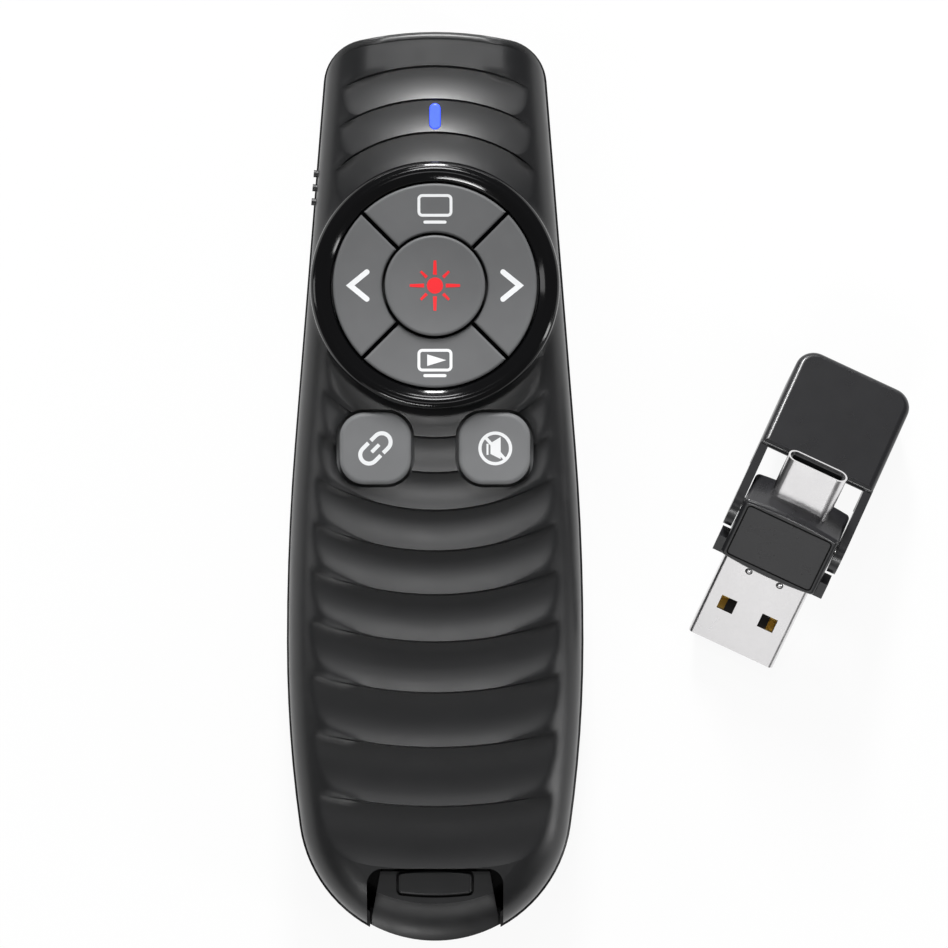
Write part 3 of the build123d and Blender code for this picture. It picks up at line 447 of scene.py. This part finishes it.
# a speaker under a ring with a slash
muteSymbol = {
    "centre": (7.8, 5.1), "radius": 1.98, "ringPoints": 45, "line": 0.42, "slash": 132,
    "cone": [(-0.62, 0.68), (0.7, 1.48), (0.7, -1.38), (-0.62, -0.72)],
    "magnet": [(-1.14, 0.6), (-0.87, 0.6), (-0.87, -0.84), (-1.14, -0.84)],
}


def makeMuteSymbol():
    reach = muteSymbol["radius"]
    ring = stroke(circlePoints((0, 0), reach, muteSymbol["ringPoints"]), muteSymbol["line"], closed=True)
    slash = stroke([(-reach, 0), (reach, 0)], muteSymbol["line"], roundEnds=False)
    slash = turned(slash, (0, 0), muteSymbol["slash"])
    speaker = filled(muteSymbol["cone"]) + filled(muteSymbol["magnet"])
    for layer, part in enumerate((ring, slash, speaker)):
        polygons = moved(part, muteSymbol["centre"])
        lift = printLook["layerLift"] * layer
        printSymbol(f"mute_symbol_{layer + 1}", polygons, "mute_key", whitePrint, lift)


makeScreenSymbols()
makeChevrons()
makeLaserSymbol()
makeLinkSymbol()
makeMuteSymbol()
print("symbols on the keys")


# the receiver leans beside the clicker: X across it, Y along its large plug, Z out of its front
receiverStand = {"pivot": (46.0, -5.0, 13.3), "heading": 245.0, "tilt": 34.73}
# the face border is a near-black line, painted shade standing in for a thin groove round the receiver's front
# face
faceBorder = {
    "width": 11.9, "length": 8.3, "middle": 1.4, "corner": 0.5, "line": 0.2,
    "face": 3.5, "lift": 0.04, "sink": 0.05,
}
# each dimple sits in a dark ring just proud of the plug: painted shade standing in for the groove round it
plugDimple = {
    "apart": 4.4, "along": 7.6, "radius": 0.34, "rise": 0.1, "levels": (0.0, 0.35, 0.65, 0.88), "points": 20,
    "grooveShade": 0.5, "grooveShadePoints": 24, "grooveShadeLift": 0.01, "face": 2.25, "sink": 0.05,
}


def receiverMatrix():
    heading = math.radians(receiverStand["heading"])
    tilt = math.radians(receiverStand["tilt"])
    level = Vector((math.cos(heading), math.sin(heading), 0.0))
    up = Vector((0.0, 0.0, 1.0))
    front = level * math.sin(tilt) + up * math.cos(tilt)
    along = level * math.cos(tilt) - up * math.sin(tilt)
    axes = Matrix((along.cross(front), along, front)).transposed().to_4x4()
    return Matrix.Translation(Vector(receiverStand["pivot"]) * millimetre) @ axes


def slabMesh(polygons, low, high):
    # upright slabs over flat polygons, all in millimetres
    mesh = bmesh.new()
    for polygon in polygons:
        rings = [[mesh.verts.new((p[0], p[1], z)) for p in polygon] for z in (low, high)]
        mesh.faces.new(rings[0])
        mesh.faces.new(rings[1])
        for k in range(len(polygon)):
            after = (k + 1) % len(polygon)
            mesh.faces.new((rings[0][k], rings[0][after], rings[1][after], rings[1][k]))
    return mesh


def domeMesh(centre, look):
    # a low round cap standing on a flat face
    mesh = bmesh.new()
    rings = []
    steps = look["points"]
    for level in look["levels"]:
        ring = circlePoints(centre, look["radius"] * math.cos(level * math.pi / 2), steps)
        height = look["face"] + look["rise"] * math.sin(level * math.pi / 2)
        rings.append([mesh.verts.new((x, y, height)) for x, y in ring])
    for lower, upper in zip(rings, rings[1:]):
        for k in range(steps):
            after = (k + 1) % steps
            mesh.faces.new((lower[k], lower[after], upper[after], upper[k]))
    mesh.faces.new(rings[-1])
    mesh.faces.new(rings[0])
    return mesh


def onReceiver(mesh):
    mesh.transform(receiverMatrix() @ Matrix.Scale(millimetre, 4))
    return mesh


def makeReceiverDetails():
    look = faceBorder
    box = roundedRectangle((0, look["middle"]), look["width"], look["length"], look["corner"])
    line = stroke(box, look["line"], closed=True)
    # the border is painted groove shade, laid as a dark slab just proud of the face
    border = onReceiver(slabMesh(line, look["face"] - look["sink"], look["face"] + look["lift"]))
    placePiece("receiver_face_groove_shade", border, made["painted_groove_shade"], "receiver")
    look = plugDimple
    for number, side in enumerate((-1, 1), 1):
        centre = (side * look["apart"] / 2, look["along"])
        # a dark ring round the dimple: painted shade for the groove it sits in, in the tongue's black
        circle = circlePoints(centre, look["grooveShade"], look["grooveShadePoints"])
        grooveShade = onReceiver(slabMesh([circle], look["face"] - look["sink"], look["face"] + look["grooveShadeLift"]))
        placePiece(f"plug_dimple_groove_shade_{number}", grooveShade, made["tongue_black"], "receiver")
        dome = onReceiver(domeMesh(centre, look))
        placePiece(f"plug_dimple_{number}", dome, made["plug_steel"], "receiver")


# dark crosses just proud of the casing screws' heads: painted shade standing in for their cross recesses,
# each turned further than the last
screwRecessShade = {
    "places": [(8.6, 45.5), (13.7, -19.4)], "length": 2.1, "width": 0.45, "turn": 20,
    "head": 0.4, "proud": 0.03, "sink": 0.05,
}


def makeScrewRecessShades():
    half = screwRecessShade["length"] / 2
    number = 0
    for x, y in screwRecessShade["places"]:
        for side in (-1, 1):
            number += 1
            bars = []
            first = screwRecessShade["turn"] * number
            for turn in (first, first + 90):
                bar = stroke([(-half, 0), (half, 0)], screwRecessShade["width"], roundEnds=False)
                bars += turned(bar, (side * x, y), turn)
            low = screwRecessShade["head"] - screwRecessShade["proud"]
            mesh = slabMesh(bars, low, screwRecessShade["head"] + screwRecessShade["sink"])
            mesh.transform(Matrix.Scale(millimetre, 4))
            # the tongue's black here is painted shade for the screw's recess
            placePiece(f"screw_recess_shade_{number}", mesh, made["tongue_black"], "casing")


# polished dial ring: its section from the bore over a gentle inner slope and a crowned face to the outside
ringShape = {
    "section": [
        (13.45, 23.3), (13.45, 24.5), (13.5, 24.68), (13.63, 24.81), (13.86, 24.93), (14.12, 25.06),
        (14.38, 25.18), (14.62, 25.26), (14.9, 25.3), (15.2, 25.29), (15.5, 25.21), (15.75, 25.07),
        (15.95, 24.85), (16.08, 24.58), (16.14, 24.3), (16.15, 24.0), (16.15, 23.3),
    ],
    "steps": 160,
}


def makeRing():
    mesh = bmesh.new()
    steps = ringShape["steps"]
    loops = []
    for radius, height in ringShape["section"]:
        loop = []
        for k in range(steps):
            angle = 2 * math.pi * k / steps
            x = dialCentre[0] + radius * math.cos(angle)
            y = dialCentre[1] + radius * math.sin(angle)
            loop.append(mesh.verts.new((x * millimetre, y * millimetre, height * millimetre)))
        loops.append(loop)
    for first, second in zip(loops, loops[1:] + loops[:1]):
        for k in range(steps):
            after = (k + 1) % steps
            face = mesh.faces.new((first[k], first[after], second[after], second[k]))
            face.smooth = True
    ring = placePiece("polished_ring", mesh, made["ring_gloss"], "casing")
    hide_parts("ring_bezel")


# a fine rounded lip right behind the front edge of the nose; section is (behind the edge, above the casing)
noseLip = {
    "reach": 12.0, "fade": 3.0, "stations": 73,
    "castFrom": 50.0, "ahead": 59.5, "lowestTop": 18.5, "walkStep": 0.02,
    "section": [(0.1, -0.05), (0.2, 0.06), (0.38, 0.11), (0.6, 0.12), (0.8, 0.09), (0.95, -0.05)],
}


def topOfCasing(surface, x, y):
    hit = surface.ray_cast(Vector((x, y, noseLip["castFrom"])) * millimetre, Vector((0, 0, -1)))[0]
    return hit.z / millimetre if hit else 0.0


def frontEdge(surface, x):
    # walks back from ahead of the nose to the first point that lies on its top
    y = noseLip["ahead"]
    while topOfCasing(surface, x, y) < noseLip["lowestTop"]:
        y -= noseLip["walkStep"]
    return y


def makeNoseLip():
    surface = surfaceOf("top_shell")
    last = noseLip["stations"] - 1
    mesh = bmesh.new()
    loops = []
    for k in range(last + 1):
        x = noseLip["reach"] * (2 * k / last - 1)
        edge = frontEdge(surface, x)
        share = min(1.0, (noseLip["reach"] - abs(x)) / noseLip["fade"])
        loop = []
        for behind, above in noseLip["section"]:
            y = edge - behind
            rise = above * share if above > 0 else above
            z = topOfCasing(surface, x, y) + rise
            loop.append(mesh.verts.new(Vector((x, y, z)) * millimetre))
        loops.append(loop)
    count = len(noseLip["section"])
    for first, second in zip(loops, loops[1:]):
        for k in range(count):
            after = (k + 1) % count
            mesh.faces.new((first[k], first[after], second[after], second[k])).smooth = True
    mesh.faces.new(loops[0])
    mesh.faces.new(loops[-1])
    placePiece("nose_lip", mesh, made["casing_black"], "casing")


makeRing()
makeNoseLip()
makeReceiverDetails()
makeScrewRecessShades()
print("ring, receiver marks and screw crosses")


# the floor, the surround and the overhead view, in metres; the paper's grain and the view are in millimetres
studio = {
    "floorTone": 0.9, "floorLift": 0.92, "floorSize": 6.0, "floorDrop": 0.0001, "surround": 0.15,
    "paperSize": 40.0, "paperRoughness": (0.85, 0.95), "paperSpecular": 0.1,
    "cameraDistance": 2.0, "clipEnd": 10.0,
    "viewWidth": 123.3, "viewCentre": (5.05, 1.79), "focusHeight": 12.0,
}
plainWhite = (1.0, 1.0, 1.0, 1.0)
lampTarget = (0.01, 0.0, 0.01)
lamps = {
    "noseSoftbox": {"place": (0.0, 0.706, 0.376), "size": (0.10, 0.20), "power": 6.4},
    "noseHigh": {"place": (0.0, 0.535, 0.595), "size": (0.22, 0.06), "power": 0.65},
    "noseOverhead": {"place": (0.0, 0.274, 0.752), "size": (0.10, 0.12), "power": 0.75},
    "noseEdgeStrip": {"place": (0.0, 0.77, 0.22), "size": (0.80, 0.04), "power": 1.2},
    "tailOverhead": {"place": (0.0, -0.22, 0.769), "size": (0.20, 0.10), "power": 0.14},
    "ringCard": {"place": (-0.159, -0.592, 0.514), "size": (0.28, 0.045), "power": 1.3},
    "leftSoftbox": {"place": (-0.693, 0.0, 0.40), "size": (0.15, 0.4), "power": 0.55},
    "rightStrip": {"place": (0.70, -0.25, 0.30), "size": (0.10, 0.5), "power": 1.5},
    "plugCard": {"place": (-0.316, -0.677, 0.287), "size": (0.35, 0.25), "power": 0.22},
}


def makeFloor():
    size = studio["floorSize"] / 2
    drop = -studio["floorDrop"]
    data = bpy.data.meshes.new("studio_floor")
    corners = [(-size, -size, drop), (size, -size, drop), (size, size, drop), (-size, size, drop)]
    data.from_pydata(corners, [], [(0, 1, 2, 3)])
    floor = bpy.data.objects.new("studio_floor", data)
    bpy.context.scene.collection.objects.link(floor)
    material, tree, shader = newMaterial("studio_white")
    tone = studio["floorTone"]
    paper = spread(tree, objectNoise(tree, studio["paperSize"]), *studio["paperRoughness"])
    tree.links.new(paper, shader.inputs["Roughness"])
    shader.inputs["Base Color"].default_value = (tone, tone, tone, 1.0)
    shader.inputs["Specular IOR Level"].default_value = studio["paperSpecular"]
    # seen directly, in gloss or through glass, the floor is lifted to white and keeps part of its shadow
    path = tree.nodes.new("ShaderNodeLightPath")
    direct = maximum(tree, path.outputs["Is Camera Ray"], path.outputs["Is Glossy Ray"])
    direct = maximum(tree, direct, path.outputs["Is Transmission Ray"])
    share = tree.nodes.new("ShaderNodeMath")
    share.operation = "MULTIPLY"
    share.inputs[1].default_value = studio["floorLift"]
    tree.links.new(direct, share.inputs[0])
    white = tree.nodes.new("ShaderNodeEmission")
    white.inputs["Color"].default_value = plainWhite
    blend = tree.nodes.new("ShaderNodeMixShader")
    tree.links.new(share.outputs[0], blend.inputs["Fac"])
    tree.links.new(shader.outputs["BSDF"], blend.inputs[1])
    tree.links.new(white.outputs["Emission"], blend.inputs[2])
    tree.links.new(blend.outputs["Shader"], tree.nodes["Material Output"].inputs["Surface"])
    data.materials.append(material)


def aimed(item, place, target):
    item.location = place
    item.rotation_euler = (Vector(target) - Vector(place)).to_track_quat("-Z", "Y").to_euler()


def makeLamps():
    for name, lamp in lamps.items():
        light = bpy.data.lights.new(name, "AREA")
        light.shape = "RECTANGLE"
        light.size, light.size_y = lamp["size"]
        light.energy = lamp["power"]
        item = bpy.data.objects.new(name, light)
        bpy.context.scene.collection.objects.link(item)
        aimed(item, lamp["place"], lampTarget)
    world = bpy.data.worlds.new("studio_surround")
    bpy.context.scene.world = world
    world.use_nodes = True
    shade = world.node_tree.nodes["Background"]
    shade.inputs["Color"].default_value = plainWhite
    shade.inputs["Strength"].default_value = studio["surround"]


def makeCamera():
    data = bpy.data.cameras.new("overhead_camera")
    distance = studio["cameraDistance"]
    data.lens = data.sensor_width * distance / (studio["viewWidth"] * millimetre)
    data.clip_end = studio["clipEnd"]
    camera = bpy.data.objects.new("overhead_camera", data)
    bpy.context.scene.collection.objects.link(camera)
    x, y = studio["viewCentre"]
    camera.location = (x * millimetre, y * millimetre, studio["focusHeight"] * millimetre + distance)
    bpy.context.scene.camera = camera


makeFloor()
makeLamps()
makeCamera()
bpy.context.scene.view_settings.view_transform = "Standard"
print("studio ready")
